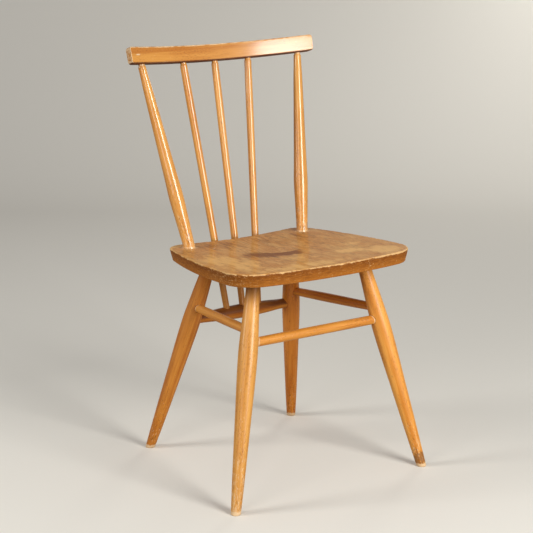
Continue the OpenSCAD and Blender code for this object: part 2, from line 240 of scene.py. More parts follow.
class Shader:
    """The nodes of one material."""

    def __init__(self, name):
        self.material = bpy.data.materials.new(name)
        self.material.use_nodes = True
        self.tree = self.material.node_tree
        self.tree.nodes.clear()

    def node(self, kind, settings=None, sockets=None, output=0):
        """A new node: its settings first, then the value or link of each socket."""
        made = self.tree.nodes.new(kind)
        for name, value in (settings or {}).items():
            setattr(made, name, value)
        for name, value in (sockets or {}).items():
            if isinstance(value, Term):
                self.tree.links.new(value.socket, made.inputs[name])
            elif isinstance(value, tuple) and made.inputs[name].type == "RGBA":
                made.inputs[name].default_value = (*value[:3], 1)
            else:
                made.inputs[name].default_value = value
        return Term(self, made.outputs[output]) if made.outputs else made

    def field(self, name):
        """A number that the mesh carries at each point."""
        return self.node("ShaderNodeAttribute", {"attribute_name": name}, output="Fac")

    def place(self, name):
        """A place that the mesh carries at each point, in metres. In "grain", Z runs along the
        wood; in "edge", X runs along the seat's edge and Y up it."""
        return self.node("ShaderNodeAttribute", {"attribute_name": name}, output="Vector")

    def noise(self, place, detail=3.0, roughness=0.5, distortion=0.0):
        """Noise from 0 to 1, in lumps as large as one unit of place."""
        return self.node("ShaderNodeTexNoise", {"noise_dimensions": "3D"}, {
            "Vector": place, "Scale": 1.0, "Detail": detail, "Roughness": roughness,
            "Distortion": distortion}, output="Fac")

    def step(self, value, low, high):
        """0 below low, 1 above high, and smooth between."""
        return self.node("ShaderNodeMapRange", {"interpolation_type": "SMOOTHSTEP"}, {
            "Value": value, "From Min": low, "From Max": high})

    def mix(self, first, second, factor):
        """The first colour where factor is 0, and the second where it is 1."""
        return self.node(
            "ShaderNodeMix", {"data_type": "RGBA"}, {0: factor, 6: first, 7: second}, output=2)

    def bump(self, height, distance):
        """A normal for a height from 0 to 1, which stands for the distance in metres."""
        return self.node("ShaderNodeBump", {}, {"Height": height, "Distance": distance})

    def surface(self, sockets):
        """The finished material, from the sockets of its main shader."""
        shader = self.node("ShaderNodeBsdfPrincipled", {}, sockets)
        self.node("ShaderNodeOutputMaterial", {}, {"Surface": shader})
        return self.material


def colours(group, *names):
    """The named colours of a settings group, as plain tuples."""
    return [tuple(getattr(group, name)) for name in names]


def toned(wood, by, deepened=0.0):
    """A colour made lighter by a factor, and richer where deepened is above 0."""
    return tuple(min(1, by * c ** (1 + deepened)) for c in wood)


# ---- finishes ----


BEECH_RELIEF = 0.00014  # height of the beech's grain and scuffs
ELM_RELIEF = 0.0004  # depth of the elm's pores and knocks


def beech(name, tone, rich, coat, gloss=0.9, shine=1.65, scuffs=0.0, pale_joint_chips_and_glint=0.0):
    """Clear-lacquered beech. tone lightens it and rich deepens its colour; coat is how rough the
    lacquer is, gloss how much of it is left, and shine its refractive index; scuffs wears it all
    over, and the pale-joint number sets the pale ring round the joints, partly chipped lacquer and
    partly a painted highlight."""
    pale, honey, fleck, bare, grime_and_shade = colours(
        bpy.context.scene.chair.beech, "pale", "honey", "fleck", "bare", "grime_and_shade")
    pale, honey = (toned(wood, tone, rich) for wood in (pale, honey))
    s = Shader(name)
    place = s.place("grain")
    bands = s.noise(place.scaled((150, 60, 3.0)), detail=3, roughness=0.6, distortion=0.4)
    fine = s.noise(place.scaled((900, 700, 12)), detail=2, roughness=0.6)
    flecks = s.step(s.noise(place.scaled((620, 620, 190)), detail=2), 0.56, 0.66)
    cloud = s.noise(place.scaled((45, 45, 14)), detail=3)
    wood = s.mix(pale, honey, s.step(bands * 0.6 + fine * 0.25 + cloud * 0.15, 0.36, 0.66))
    wood = s.mix(wood, fleck, flecks * s.step(cloud, 0.38, 0.62) * 0.6)
    # Worn lacquer: pale scuffs and specks, more of them towards the foot, and a bare foot rim
    scuff = s.noise(place.scaled((260, 260, 60)), detail=5, roughness=0.7)
    specks = s.noise(place.scaled((430, 430, 170)), detail=2)
    low = s.field("low")
    worn = s.step(scuff + low * 0.14 + scuffs * 0.06, 0.66, 0.74).most(
        s.step(specks + low * 0.13 + scuffs * 0.04, 0.70, 0.77))
    rim = s.step(s.field("rim") + (scuff - 0.5) * 1.1, 0.38, 0.62)
    wood = s.mix(wood, bare, (worn * 0.55).most(rim * 0.92))
    # Darkening: reddish marks just above the foot, painted shade on upper sides and under the
    # seat, and the joints' dark lines
    spots = s.noise(place.scaled((190, 190, 75)).moved((3, 7, 1)), detail=4, roughness=0.65)
    marks = s.step(spots + low * 0.12 + s.field("marks") * 0.20, 0.68, 0.76)
    wood = s.mix(wood, grime_and_shade, marks * 0.62 * (1 - rim))
    joint = s.field("joint")
    # Pale ring round the joints: partly chipped lacquer, partly a painted highlight
    ring = s.step(joint + (scuff - 0.5) * 0.8, 0.15, 0.35) * (1 - s.step(joint, 0.60, 0.85))
    wood = s.mix(wood, bare, ring * pale_joint_chips_and_glint)
    seam = s.step(joint, 0.62, 0.95)
    # Painted shade, mottled, in the grime colour
    dirt = s.field("dirt") * (0.75 + cloud * 0.5)
    wood = s.mix(wood, grime_and_shade, (seam * 0.7).most(dirt))
    # What is left of the lacquer, which is dull towards the foot and gone where shade is painted
    left = 1 - (worn * 0.5).most(rim).most(seam * 0.7).most(s.step(dirt, 0.0, 0.6))
    return s.surface({
        "Base Color": wood,
        "Roughness": 0.46 + worn * 0.12,
        "Coat Weight": left * gloss * (1 - low * 0.45),
        "Coat Roughness": coat,
        "Coat IOR": shine,
        "Specular IOR Level": 0.2,
        "Normal": s.bump(cloud * 0.8 + fine * 0.3 + scuff * 0.2 - marks * 0.2, BEECH_RELIEF),
    })


def elm(name):
    """Old elm: mottled and stained on top, redder round the edge, bare along the upper edge."""
    top, faded, dark, stain, edge, bright, bare = colours(
        bpy.context.scene.chair.elm, "top", "faded", "dark", "stain", "edge", "bright", "bare")
    s = Shader(name)
    place = s.place("grain")
    along = s.place("edge")
    height = s.node("ShaderNodeSeparateXYZ", {}, {0: along}, output="Y")
    cloud = s.noise(place.scaled((38, 38, 15)), detail=6, roughness=0.72, distortion=0.5)
    rings = s.noise(place.scaled((150, 150, 14)), detail=6, roughness=0.72, distortion=0.4)
    pores = s.noise(place.scaled((560, 560, 60)), detail=4, roughness=0.7)
    wood = s.mix(top, faded, s.step(cloud * 0.5 + rings * 0.5, 0.45, 0.59) * 0.66)
    lines = s.step(pores * 0.5 + rings * 0.3 + (1 - cloud) * 0.2, 0.49, 0.59)
    wood = s.mix(wood, dark, lines * 0.62)
    # Faded patches and stains, where the mesh says, with ragged outlines along the grain
    ragged = s.noise(place.scaled((60, 60, 17)), detail=5, roughness=0.65)
    pale_patch = s.step(s.field("faded") + (ragged - 0.5) * 2.2, 0.35, 0.85)
    wood = s.mix(wood, toned(faded, 1.12), pale_patch * 0.8)
    dark_patch = s.step(s.field("stain") + (ragged - 0.5) * 1.7 + (rings - 0.5) * 2.0, 0.1, 0.95)
    wood = s.mix(wood, stain, dark_patch * 0.85)
    # The edge band keeps its old reddish finish, scratched along: dark above and brighter orange
    # below, and the brighter lower part is partly a painted highlight
    band = s.step(s.field("band"), 0.3, 0.8)
    streaks = s.noise(along.scaled((75, 520, 50)), detail=4, roughness=0.65)
    specks = s.noise(along.scaled((420, 800, 200)), detail=3, roughness=0.6)
    band_wood = s.mix(edge, bright, s.step(streaks * 0.8 + specks * 0.3 - height * 13, 0.52, 0.95))
    band_wood = s.mix(band_wood, stain, s.step(specks * 0.5 + cloud * 0.5, 0.55, 0.66) * 0.45)
    wood = s.mix(wood, band_wood, band)
    # Bare, ragged line along the upper edge, and knocks on the band
    rub = s.noise(along.scaled((190, 420, 90)), detail=5, roughness=0.72)
    slow = s.noise(along.scaled((30, 60, 17)), detail=3)
    rim = s.step(s.field("rim") + rub * 2.2 + (slow - 0.5) * 2.2, 1.66, 2.10)
    knocks = s.step(rub * 0.6 + specks * 0.4 + s.field("knocks") * 0.07, 0.60, 0.65) * band
    scratches = s.step(s.noise(along.scaled((42, 1000, 55)), detail=2), 0.66, 0.71) * band
    wood = s.mix(wood, bare, (rim * 0.85).most(knocks * 0.7).most(scratches * 0.4))
    # Chipped lacquer round the posts
    joint = s.step(s.field("joint") + (rub - 0.5) * 1.6, 0.25, 0.7)
    wood = s.mix(wood, toned(bare, 1.1), joint * 0.85)
    left = (1 - rim) * (1 - pale_patch * 0.4) * (1 - dark_patch * 0.6) * (1 - band * 0.8)
    return s.surface({
        "Base Color": wood,
        "Roughness": 0.5 + rim * 0.15,
        "Coat Weight": 0.24 * left,
        "Coat Roughness": 0.11,
        "Coat IOR": 1.45,
        "Specular IOR Level": 0.07,
        "Normal": s.bump(pores * 0.6 + rub * 0.3 + specks * band * 0.4, ELM_RELIEF),
    })


# ---- mesh work ----


FIT_ROUNDS = 12  # rounds in which the axis of a turned node settles
FIT_ARM = 0.1  # weighs the axis's place against its direction, in metres
FIT_MISS = 0.0002  # a face that points this far past the axis counts for half
ON_AXIS = 0.0003  # how near its axis a face of a turned piece has to point
END_FACE = 0.6  # a face that leans further along the axis than this is an end
SAME_RING = 0.0001  # how close along the axis the points of one ring lie
RING_GAP = 0.0008  # rings of the CAD node nearer than this count as one
RING_POINTS = 8  # fewer points than this at one distance are no ring
BOX_SLACK = 0.002  # how far a piece may be from its CAD node's box


def piece(name, rings, material, fields, replaced):
    """A closed mesh through rings of points, capped at both ends, which stands for a CAD node.
    fields holds a number or a vector for each point, which the material reads."""
    rings = np.asarray(rings)
    count, around, _ = rings.shape
    first, last = count * around, count * around + 1
    points = np.vstack([rings.reshape(-1, 3), rings[0].mean(0), rings[-1].mean(0)])
    a = np.arange(count - 1)[:, None] * around + np.arange(around)
    b = np.arange(count - 1)[:, None] * around + (np.arange(around) + 1) % around
    faces = np.stack([a, b, b + around, a + around], -1).reshape(-1, 4).tolist()
    top = (count - 1) * around
    for k in range(around):
        n = (k + 1) % around
        faces.append([n, k, first])
        faces.append([top + k, top + n, last])
    mesh = bpy.data.meshes.new(name)
    mesh.from_pydata(points.tolist(), [], faces)
    mesh.validate()
    for field, values in fields.items():
        values = np.asarray(values, np.float32)
        flat = values.reshape(count * around, -1)
        capped = np.vstack([flat, flat[:around].mean(0), flat[-around:].mean(0)])
        vector = capped.shape[1] == 3
        attribute = mesh.attributes.new(field, "FLOAT_VECTOR" if vector else "FLOAT", "POINT")
        attribute.data.foreach_set("vector" if vector else "value", capped.ravel())
    mesh.shade_smooth()
    mesh.materials.append(material)
    made = bpy.data.objects.new(name, mesh)
    bpy.context.scene.collection.objects.link(made)
    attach(made, "root")
    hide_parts(replaced)


def closeness(rings, nodes, reach):
    """1 where a point touches one of the CAD nodes, falling to 0 at reach."""
    flat = np.asarray(rings).reshape(-1, 3)
    near = np.zeros(len(flat))
    for node in nodes:
        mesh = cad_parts[node].data
        tree = BVHTree.FromPolygons(
            [v.co for v in mesh.vertices], [tuple(p.vertices) for p in mesh.polygons])
        for i, point in enumerate(flat):
            found = tree.find_nearest(Vector(point), reach)
            if found[0] is not None:
                near[i] = max(near[i], 1 - found[3] / reach)
    return near.reshape(np.asarray(rings).shape[:-1])


def roughness_at(points, scale, seed):
    """Smooth noise from -1 to 1 at each point; scale is the size of its lumps, in metres."""
    flat = np.asarray(points).reshape(-1, 3)
    values = [noise.noise(Vector(p) / scale + Vector((seed, 0, 0))) for p in flat]
    return np.array(values).reshape(np.asarray(points).shape[:-1])


def tilted(rings, by):
    """Rings turned about the X axis, so that what was high moves back."""
    c, s = math.cos(by), math.sin(by)
    return np.stack([rings[..., 0], c * rings[..., 1] + s * rings[..., 2],
                     c * rings[..., 2] - s * rings[..., 1]], -1)


def check_box(rings, low, high, node):
    """Stops the script if a piece isn't in the box of its CAD node."""
    drift = max(abs(np.array(high) - rings.max((0, 1))).max(),
                abs(np.array(low) - rings.min((0, 1))).max())
    if drift > BOX_SLACK:
        raise RuntimeError(f"{node} is {drift * 1000:.1f} mm off its CAD box")


def smooth_step(value, low, high):
    """0 below low, 1 above high, and smooth between."""
    t = np.clip((np.asarray(value) - low) / (high - low), 0, 1)
    return t * t * (3 - 2 * t)


def turning(node):
    """The axis and profile of a turned CAD node: origin, direction, distances and radii."""
    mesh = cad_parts[node].data
    points = np.array([v.co for v in mesh.vertices])
    corners = np.array([p.vertices[:3] for p in mesh.polygons])
    middle = points.mean(0)
    a, b, c = (points[corners[:, i]] - middle for i in range(3))
    normals = np.cross(b - a, c - a)
    areas = np.linalg.norm(normals, axis=1)
    keep = areas > 1e-12
    normals = normals[keep] / areas[keep, None]
    centres, corners = (a + b + c)[keep] / 3, corners[keep]
    # Every normal of a turned surface meets its axis; the walls of holes in it do not
    rows = np.hstack([np.cross(centres, normals), normals * FIT_ARM])
    weights = np.sqrt(areas[keep])
    for _ in range(FIT_ROUNDS):
        _, _, found = np.linalg.svd(rows * weights[:, None], full_matrices=False)
        line = found[-1]
        scale = np.linalg.norm(line[:3])
        miss = np.abs(rows @ line) / scale
        weights = np.sqrt(areas[keep]) / (1 + (miss / FIT_MISS) ** 2)
    direction = line[:3] / scale
    origin = middle + np.cross(direction, line[3:] * FIT_ARM / scale)
    if direction[2] < 0 or abs(direction[2]) < 0.1 and direction[0] + direction[1] < 0:
        direction = -direction
    turned = corners[(miss < ON_AXIS) & (np.abs(normals @ direction) < END_FACE)]
    skin = points[np.unique(turned)]
    skin = skin[np.unique(skin.round(6), axis=0, return_index=True)[1]]
    along = (skin - origin) @ direction
    radius = np.linalg.norm(skin - origin - along[:, None] * direction, axis=1)
    # The profile is read from whole rings, and at the floor from the foot's rim
    place, count = np.unique(along.round(4), return_counts=True)
    distances, radii = [], []
    for s, points_in_ring in zip(place, count):
        near = np.abs(along - s) < SAME_RING
        if points_in_ring >= RING_POINTS or np.abs(skin[near, 2]).max() < 1e-5:
            distances.append(along[near].mean())
            radii.append(np.median(radius[near]))
    distances, radii = np.array(distances), np.array(radii)
    apart = np.concatenate([[True], np.diff(distances) > RING_GAP])
    return origin, direction, distances[apart], radii[apart]


def smooth_profile(along, radius, at):
    """Radii on a smooth curve through the profile's points, without overshoot."""
    slopes = np.diff(radius) / np.diff(along)
    product = slopes[1:] * slopes[:-1]
    total = np.where(np.abs(slopes[1:] + slopes[:-1]) < 1e-12, 1, slopes[1:] + slopes[:-1])
    tangents = np.concatenate(
        [[slopes[0]], np.where(product > 0, 2 * product / total, 0), [slopes[-1]]])
    i = np.clip(np.searchsorted(along, at) - 1, 0, len(slopes) - 1)
    h = along[i + 1] - along[i]
    t = np.clip((at - along[i]) / h, 0, 1)
    return (radius[i] * (1 + 2 * t) * (1 - t) ** 2 + radius[i + 1] * t * t * (3 - 2 * t)
            + h * tangents[i] * t * (1 - t) ** 2 - h * tangents[i + 1] * t * t * (1 - t))


def turned_piece(node, material, seed, meets, dirt=0.0, shade=0.0):
    """A turned piece that follows its CAD node's axis and profile. The upper-side shade number
    paints shade on its upper side, and shade paints shade on the part just under the seat, which
    the seat shades."""
    stands = node.endswith("leg")
    sizes, wear = bpy.context.scene.chair.turning, bpy.context.scene.chair.wear
    origin, direction, along, radius = turning(node)
    across = np.cross(direction, (0.0, 0.0, 1.0) if abs(direction[2]) < 0.9 else (0.0, 1.0, 0.0))
    across /= np.linalg.norm(across)
    other = np.cross(direction, across)
    turn = np.linspace(0, 2 * math.pi, sizes.round, endpoint=False)
    spoke = np.cos(turn)[:, None] * across + np.sin(turn)[:, None] * other
    low, high = along[0], along[-1]
    if stands:
        # Start where the axis meets the floor, and let each column run down to the floor
        low = -origin[2] / direction[2]
    at = np.linspace(low, high, int((high - low) / sizes.step) + 1)
    sharp = along[(along > low + 0.001) & (along < high - 0.001)]
    jumps = [s for s in sharp if s > high - sizes.tenon]
    at = np.unique(np.concatenate([at, jumps]).round(6))
    if stands:
        curl = [sizes.rim * (1 - math.cos(t)) for t in np.linspace(0, math.pi / 2, 6)]
        at = np.unique(np.concatenate([low + np.array(curl), at[at > low + sizes.rim]]))
    r = smooth_profile(along, radius, at)
    s = np.repeat(at[:, None], sizes.round, 1)
    if stands:
        foot_drop = -(spoke[:, 2] * r[0]) / direction[2]
        s = s + foot_drop * np.clip(1 - (s - low) / sizes.foot, 0, 1)
        inset = np.clip(1 - (at - low) / sizes.rim, 0, 1)
        r = r - sizes.rim * (1 - np.sqrt(1 - inset ** 2))
    rings = origin + s[..., None] * direction + r[:, None, None] * spoke
    if stands:
        rings[0, :, 2] = 0
        rings[..., 2] = np.maximum(rings[..., 2], 0)
    local = np.stack(np.broadcast_arrays(
        r[:, None] * np.cos(turn), r[:, None] * np.sin(turn), s), -1)
    height = rings[..., 2]
    if stands:
        low_down = smooth_step(wear.scuffed - height, 0, wear.scuffed)
        shade_from = wear.shade_rear if "rear" in node else wear.shade_front
        under = smooth_step(height, shade_from, wear.shade_full)
    else:
        rubbed = smooth_step(wear.post_rubbed - height, 0, 0.1)
        low_down = 0.9 * rubbed * node.endswith("post")
        under = smooth_step(wear.stick_shade - height, 0, 0.02)
    fields = {
        "grain": local + np.array((0.31, 0.17, 1.3)) * (seed + 1),
        "low": low_down,
        "rim": np.clip(1.1 - height / wear.bare_foot, 0, 1) if stands else height * 0,
        "marks": smooth_step(wear.marks - height, 0, 0.035) * (node == "front_right_leg"),
        "joint": closeness(rings, meets, wear.joint),
        # Painted shade: darker on the upper side, and on the part just under the seat
        "dirt": dirt * (0.25 + 0.75 * smooth_step(spoke[:, 2], -0.35, 0.35)) + shade * under,
    }
    piece("turned_" + node, rings, material, fields, node)


# ---- the seat ----


OUTLINE_STEP = 0.0016  # distance between points round the seat
EDGE_REACH = 0.0023  # how far the rubbed line reaches from the upper edge
FLAT_FROM = 0.017  # how far in from the edge the rings begin to shrink to the middle
BAND_RING = 12  # one of the rings on the seat's edge band
TOP = -0.004  # points of the plank above this height are on its top
# Each patch on the seat: place, back from the front edge; size; turn; and strength
RIM_WEAR = (
    ((-0.16, 0.345), (0.05, 0.04), 0, 0.4), ((0.19, 0.03), (0.11, 0.10), 0, 0.35),
    ((-0.2, 0.21), (0.06, 0.1), 0, -0.3))
BARE_CORNER = (((-0.155, 0.352), (0.045, 0.020), 0.3, 1.0),)
KNOCKS = (((0.075, 0.0), (0.016, 0.03), 0, 0.8), ((-0.19, 0.09), (0.05, 0.08), 0, 1.0))
FADED = (
    ((0.15, 0.06), (0.055, 0.05), 0, 1.0), ((0.085, 0.095), (0.04, 0.03), 0, 0.9),
    ((-0.15, 0.14), (0.06, 0.13), 0, 0.85), ((-0.03, 0.10), (0.06, 0.035), 0, 0.7),
    ((-0.05, 0.03), (0.13, 0.035), 0, 0.75), ((0.13, 0.15), (0.04, 0.03), 0, 0.6))
STAINED = (
    ((-0.052, 0.174), (0.060, 0.044), -0.25, 0.95), ((-0.008, 0.170), (0.042, 0.042), -0.1, 1.3),
    ((-0.06, 0.09), (0.06, 0.02), 0.5, 0.35))


def arc(centre, radius, start, end, count, side):
    """Points on an arc with the direction that the edge faces; side is -1 for a hollow edge."""
    t = np.linspace(start, end, count, endpoint=False)
    out = np.stack([np.cos(t), np.sin(t)], -1)
    return np.asarray(centre) + radius * out, side * out


def seat_outline(z):
    """The seat's outline, anticlockwise from the middle of the front, and the way it faces."""
    front, rear = np.array(z.front_corner), np.array(z.rear_corner)
    rf, rr = z.front_radius, z.rear_radius
    front_bow = (front @ front - rf * rf) / (2 * (front[1] - rf))
    gap = rear - front
    d = np.linalg.norm(gap)
    u = gap / d
    p, q = z.side_bow - rf, z.side_bow - rr
    s = (d * d + p * p - q * q) / (2 * d)
    side = front + u * s - np.array((u[1], -u[0])) * math.sqrt(p * p - s * s)
    rise = z.depth - rear[1]
    back_bow = (rear[0] ** 2 + rise * rise - rr * rr) / (2 * (rr - rise))
    front_centre, back_centre = np.array((0, front_bow)), np.array((0, z.depth + back_bow))

    def way(a, b):
        return math.atan2(b[1] - a[1], b[0] - a[0])

    stops = [-math.pi / 2, way(front_centre, front), way(side, front), way(side, rear),
             way(rear, back_centre)]
    runs = [(front_centre, front_bow, stops[0], stops[1], 1), (front, rf, stops[1], stops[2], 1),
            (side, z.side_bow, stops[2], stops[3], 1), (rear, rr, stops[3], stops[4], 1),
            (back_centre, back_bow, stops[4] - math.pi, -math.pi / 2, -1)]
    points, faces = [], []
    for centre, radius, start, end, hollow in runs:
        count = max(4, int(radius * abs(end - start) / OUTLINE_STEP))
        run = arc(centre, radius, start, end, count, hollow)
        points.append(run[0])
        faces.append(run[1])
    points = np.vstack(points + [[[0, z.depth]]])
    faces = np.vstack(faces + [[[0, 1]]])
    mirror = np.array((-1, 1))
    return (np.vstack([points, points[-2:0:-1] * mirror]),
            np.vstack([faces, faces[-2:0:-1] * mirror]))


def blob(x, y, place, size, turn):
    """1 at the middle of an oval patch, falling to 0 at its edge."""
    c, s = math.cos(turn), math.sin(turn)
    dx, dy = x - place[0], y - place[1]
    u, v = (c * dx + s * dy) / size[0], (c * dy - s * dx) / size[1]
    return np.clip(1 - (u * u + v * v), 0, 1)


def patches(x, y, table):
    """The sum of the patches in a table, each with its own strength."""
    return sum(strength * blob(x, y, place, size, turn) for place, size, turn, strength in table)


def hump(t):
    """1 at 0, falling smoothly to 0 at -1 and 1."""
    return np.where(np.abs(t) < 1, np.cos(np.clip(t, -1, 1) * math.pi / 2) ** 2, 0)


def seat_rings(z):
    """The plank's rings from the middle of its underside to the middle of its top, in its own
    frame, with how near each is to the upper edge, and 1 where it is on the edge band."""
    outline, faces = seat_outline(z)
    t, r, under, lower = z.thickness, z.edge_radius, z.undercut, z.lower_radius
    lean = under / (t - lower - r)
    rows = []  # inset, share of the full size, height, distance from the upper edge, band
    for part in (0.15, 0.4, 0.65, 0.85, 0.95):
        rows.append((under + lower, part, -t, 0.05, 0.0))
    for k in range(5):
        a = k / 4 * math.pi / 2
        rows.append((under + lower * (1 - math.sin(a)) * 0.8, 1, -t + lower * (1 - math.cos(a)),
                     0.02, 0.4 + 0.15 * k))
    for k in range(1, 10):
        h = -t + lower + (t - lower - r) * k / 10
        rows.append((lean * (-r - h), 1, h, -r - h + 0.002, 1.0))
    for k in range(9):
        a = k / 8 * math.pi / 2
        rows.append((r * (1 - math.cos(a)), 1, -r + r * math.sin(a), abs(k - 4) * 0.0006,
                     1 - k / 8))
    for step in (0.0008, 0.0018, 0.003, 0.005, 0.008, 0.012, FLAT_FROM):
        rows.append((r + step, 1, 0, 0.0024 + step, 0.0))
    for part in np.linspace(0.98, 0.02, 50):
        rows.append((r + FLAT_FROM, part, 0, 0.03, 0.0))
    rings, rim, band = [], [], []
    middle = np.array((0, z.depth * 0.5))
    for inset, part, height, distance, on_band in rows:
        flat = middle + part * (outline - inset * faces - middle)
        rings.append(np.column_stack([flat, np.full(len(flat), height)]))
        rim.append(np.full(len(flat), math.exp(-(distance / EDGE_REACH) ** 2)))
        band.append(np.full(len(flat), on_band))
    return np.array(rings), np.array(rim), np.array(band), faces


def build_seat():
    z = bpy.context.scene.chair.seat
    rings, rim, band, faces = seat_rings(z)
    x, y, height = rings[..., 0], rings[..., 1], rings[..., 2]
    top = smooth_step(height, -0.006, -0.002)
    rings[..., 2] -= (top * z.dish * hump(x / z.dish_half[0])
                      * hump((y - z.dish_middle) / z.dish_half[1]))
    # Nicks and flats in the upper edge, always inwards
    near = np.exp(-((1 - rim) / 0.75) ** 2) * (rim > 0.02)
    lumps = roughness_at(rings, 0.011, 3) * 0.6 + roughness_at(rings, 0.0045, 8) * 0.4
    depth = z.nicks * near * smooth_step(lumps, 0.06, 0.55)
    dents = z.nicks * 0.5 * smooth_step(roughness_at(rings, 0.009, 21), 0.30, 0.6) * (band > 0.9)
    rings[..., :2] -= (depth * 0.7 + dents)[..., None] * faces
    rings[..., 2] -= depth * 0.7
    grain = np.stack([x, height, y], -1) + np.array((0.4, 0.2, 0.9))
    # Lay the plank at its slope, and put it where the frame has it
    sloped = tilted(rings, z.slope)
    low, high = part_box("seat")
    sloped[..., 1] += low.y - sloped[..., 1].min()
    sloped[..., 2] += high.z - sloped[..., 2].max()
    check_box(sloped, low, high, "seat")
    on_top = height > TOP
    # The way round the edge, the same on both sides, so that it has no seam
    outer = rings[BAND_RING, :, :2]
    strides = np.linalg.norm(np.diff(outer, axis=0, prepend=outer[-1:]), axis=1)
    strides[0] = 0
    way = np.cumsum(strides)
    way = np.broadcast_to(np.minimum(way, way[-1] - way), x.shape)
    fields = {
        "grain": grain,
        "edge": np.stack([way, height, x], -1),
        "rim": np.clip(rim + depth / z.nicks * 0.5, 0, 1.4) * (1 + patches(x, y, RIM_WEAR))
        + on_top * patches(x, y, BARE_CORNER),
        "band": band,
        "knocks": patches(x, y, KNOCKS),
        "joint": on_top * closeness(
            sloped, ["left_post", "right_post"], bpy.context.scene.chair.wear.seat_joint),
        "faded": on_top * patches(x, y, FADED),
        "stain": on_top * (patches(x, y, STAINED) + smooth_step(y, 0.19, 0.30) * 0.22),
    }
    piece("worn_seat", sloped, elm("Worn elm"), fields, "seat")


# ---- the crest rail ----


# The corners of the rail's section in order, and where the arc at each one starts, in degrees
RAIL_CORNERS = (((1, -1), -90), ((1, 1), 0), ((-1, 1), 90), ((-1, -1), 180))
ARC_POINTS = 8  # points on each arris of the rail
FLAT_POINTS = 19  # points on each of its four faces
END_REACH = 0.0016  # how far the worn rim reaches from the rail's end
SCRATCH = ((-0.198, 0.018), (0.012, 0.0021), 0.08)  # place, size and turn of the rail's scratch


def rail_section(z, cut, inset):
    """One section of the rail round its middle, with how near each point is to an arris. cut
    brings its upper and lower edges in near the rail's end, and inset shrinks it all round."""
    middle = np.array((z.thickness / 2 - z.edge_radius, z.height / 2 - cut - z.edge_radius))

    def at(corner, degrees):
        turn = math.radians(degrees)
        return middle * corner + (z.edge_radius - inset) * np.array(
            (math.cos(turn), math.sin(turn)))

    points, arris = [], []
    for (corner, start), (following, its_start) in zip(
            RAIL_CORNERS, RAIL_CORNERS[1:] + RAIL_CORNERS[:1]):
        points += [at(corner, a) for a in np.linspace(start, start + 90, ARC_POINTS)]
        arris += [1.0] * ARC_POINTS
        # Points along the flat that follows the corner
        flat_from, flat_to = points[-1], at(following, its_start)
        for k in np.linspace(0.04, 0.96, FLAT_POINTS):
            points.append(flat_from + (flat_to - flat_from) * k)
            arris.append(max(0.0, 1 - min(k, 1 - k) * 14))
    return np.array(points), np.array(arris)


def build_rail():
    z = bpy.context.scene.chair.rail
    t, r, half = z.thickness, z.corner_radius, z.length / 2
    # How far each ring stands back from the rail's end, and how far it shrinks to round the rim
    one_half = [(0, 0.0010), (0.0001, 0.0006), (0.0003, 0.0003), (0.0006, 0.0001), (0.001, 0)]
    one_half += [(d, 0) for d in (0.0015, 0.0022, 0.003, 0.004, 0.005, 0.006, 0.0075)]
    one_half += [(d, 0) for d in np.linspace(0.009, half, 150)]
    places = [(d, i, -1) for d, i in one_half] + [(d, i, 1) for d, i in one_half[-2::-1]]
    rings, grain, rim = [], [], []
    for d, inset, side in places:
        cut = r - math.sqrt(max(r * r - (r - d) ** 2, 0)) if d < r else 0
        section, arris = rail_section(z, cut, inset)
        deep, up = (section + (t / 2, z.height / 2)).T
        deep = deep + z.crown * (up / (z.height / 2) - 1) ** 2 * (deep < t / 2)
        x = side * (half - d + up * math.tan(z.end_slope) * min(1, (half - d) / half))
        y = np.sqrt((z.bend + deep) ** 2 - x * x) - z.bend
        rings.append(np.column_stack([x, y, up]))
        grain.append(np.column_stack([deep, up, z.bend * np.arcsin(x / z.bend)]))
        end_rim = math.exp(-(d / END_REACH) ** 2)
        rim.append(np.maximum(arris * 0.55, end_rim) * (0.5 if d == 0 else 1.0))
    rings, grain, rim = np.array(rings), np.array(grain), np.array(rim)
    leaned = tilted(rings, z.lean)
    low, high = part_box("crest_rail")
    leaned[..., 1] += high.y - leaned[..., 1].max()
    leaned[..., 2] += high.z - leaned[..., 2].max()
    check_box(leaned, low, high, "crest_rail")
    x, y, up = rings[..., 0], rings[..., 1], rings[..., 2]
    scratch = blob(x, up, *SCRATCH) * (y < 0.001)
    # Painted shade along the lower edge, which faces down, and on both end faces
    lower_edge_shade = smooth_step(0.0036 - up, 0, 0.0018)
    end_face_shade = 0.22 * (np.abs(x) > half - 0.0002)
    uprights = ["left_post", "right_post", "left_stick", "centre_stick", "right_stick"]
    worn_joint = bpy.context.scene.chair.wear.joint
    fields = {
        "grain": grain + np.array((0.7, 0.3, 5.0)),
        "rim": rim + 0.8 * scratch,
        "low": rim * 0,
        "joint": closeness(leaned, uprights, worn_joint) * (up < 0.006),
        "dirt": np.maximum(lower_edge_shade, end_face_shade),
    }
    material = beech("Rail beech", tone=0.93, rich=0.2, coat=0.18, gloss=0.85)
    piece("bent_crest_rail", leaned, material, fields, "crest_rail")


# ---- operators ----


class CHAIR_OT_seat(bpy.types.Operator):
    """Build the worn elm seat"""
    bl_idname = "chair.seat"
    bl_label = "Seat"

    def execute(self, context):
        build_seat()
        return {"FINISHED"}


